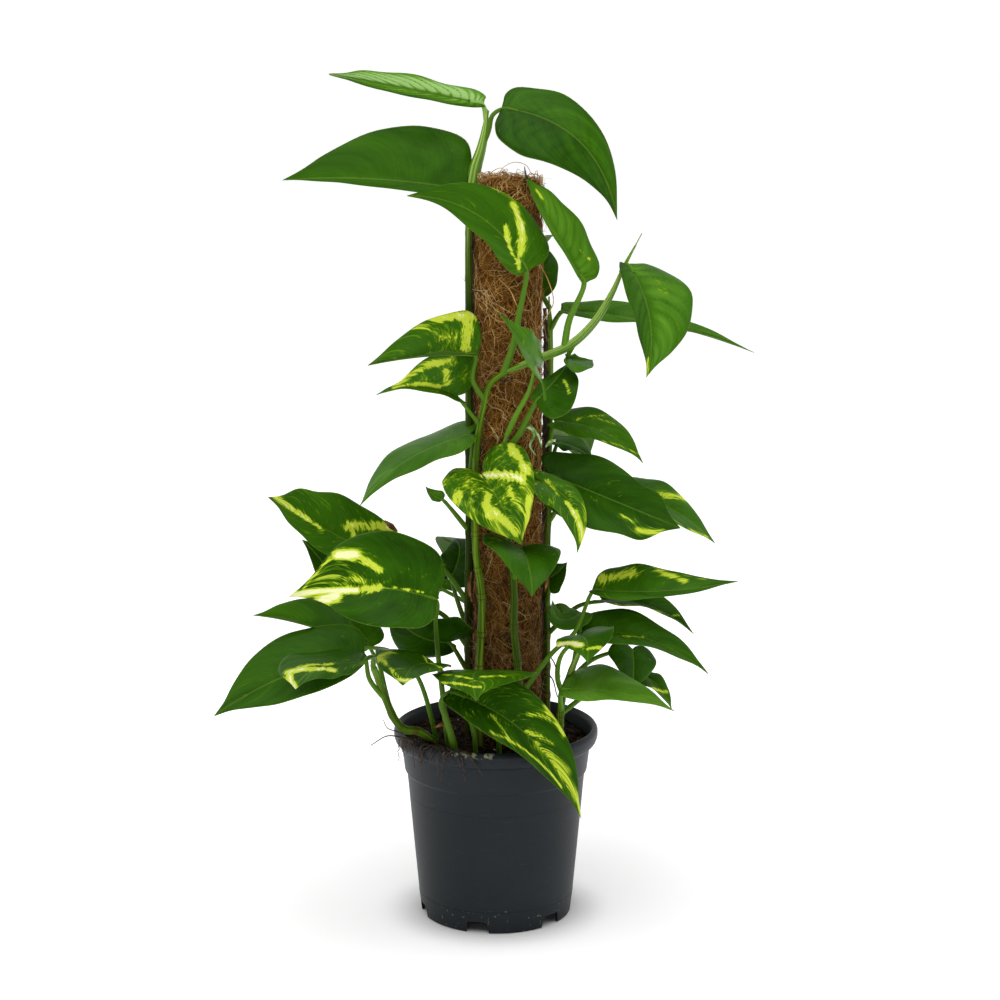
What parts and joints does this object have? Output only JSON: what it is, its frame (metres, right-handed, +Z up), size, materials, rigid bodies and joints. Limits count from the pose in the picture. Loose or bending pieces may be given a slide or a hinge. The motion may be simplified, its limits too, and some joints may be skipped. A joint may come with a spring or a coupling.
{
  "type": "golden pothos on a coir pole in a plastic pot",
  "caption": "Climbing pothos with heart-shaped, yellow-variegated leaves on a coir pole, standing in a grey plastic nursery pot.",
  "frame": {"origin": "on the floor under the middle of the whole plant's bounding box; the pot's axis stands a little off it", "axes": "+Z up along the pole; +X to the right and -Y towards the viewer, as the plant is seen from its front"},
  "size_m": [0.3782, 0.2664, 0.6119],
  "materials": {
    "pot": "satin",
    "soil": "matte",
    "pole_core": "matte",
    "coir": "matte",
    "stem": "satin",
    "leaf": "gloss"
  },
  "bodies": {
    "root": {"pot": "pot", "soil": "soil", "pole_core": "pole_core", "coir_sleeve": "coir", "front_vine": "stem", "middle_vine": "stem", "top_vine": "stem", "right_vine": "stem", "back_vine": "stem", "left_shoot": "stem", "right_shoot": "stem", "top_vine_leaf_1": "leaf", "top_vine_leaf_2": "leaf", "top_vine_leaf_3": "leaf", "top_vine_leaf_4": "leaf", "top_vine_leaf_5": "leaf", "top_vine_leaf_6": "leaf", "top_vine_leaf_7": "leaf", "top_vine_leaf_8": "leaf", "top_vine_leaf_9": "leaf", "front_vine_leaf_1": "leaf", "front_vine_leaf_2": "leaf", "front_vine_leaf_3": "leaf", "front_vine_leaf_4": "leaf", "front_vine_leaf_5": "leaf", "front_vine_leaf_6": "leaf", "front_vine_leaf_7": "leaf", "middle_vine_leaf_1": "leaf", "middle_vine_leaf_2": "leaf", "middle_vine_leaf_3": "leaf", "middle_vine_leaf_4": "leaf", "middle_vine_leaf_5": "leaf", "right_vine_leaf_1": "leaf", "right_vine_leaf_2": "leaf", "right_vine_leaf_3": "leaf", "right_vine_leaf_4": "leaf", "right_vine_leaf_5": "leaf", "right_vine_leaf_6": "leaf", "right_vine_leaf_7": "leaf", "right_vine_leaf_8": "leaf", "right_shoot_leaf_1": "leaf", "right_shoot_leaf_2": "leaf", "right_shoot_leaf_3": "leaf", "right_shoot_leaf_4": "leaf", "right_shoot_leaf_5": "leaf", "right_shoot_leaf_6": "leaf", "left_shoot_leaf_1": "leaf", "left_shoot_leaf_2": "leaf", "left_shoot_leaf_3": "leaf", "soil_leaf_1": "leaf", "soil_leaf_2": "leaf", "soil_leaf_3": "leaf", "soil_leaf_4": "leaf", "soil_leaf_5": "leaf", "back_vine_leaf_1": "leaf", "back_vine_leaf_2": "leaf", "back_vine_leaf_3": "leaf", "back_vine_leaf_4": "leaf", "back_vine_leaf_5": "leaf", "back_vine_leaf_6": "leaf"}
  },
  "joints": []
}
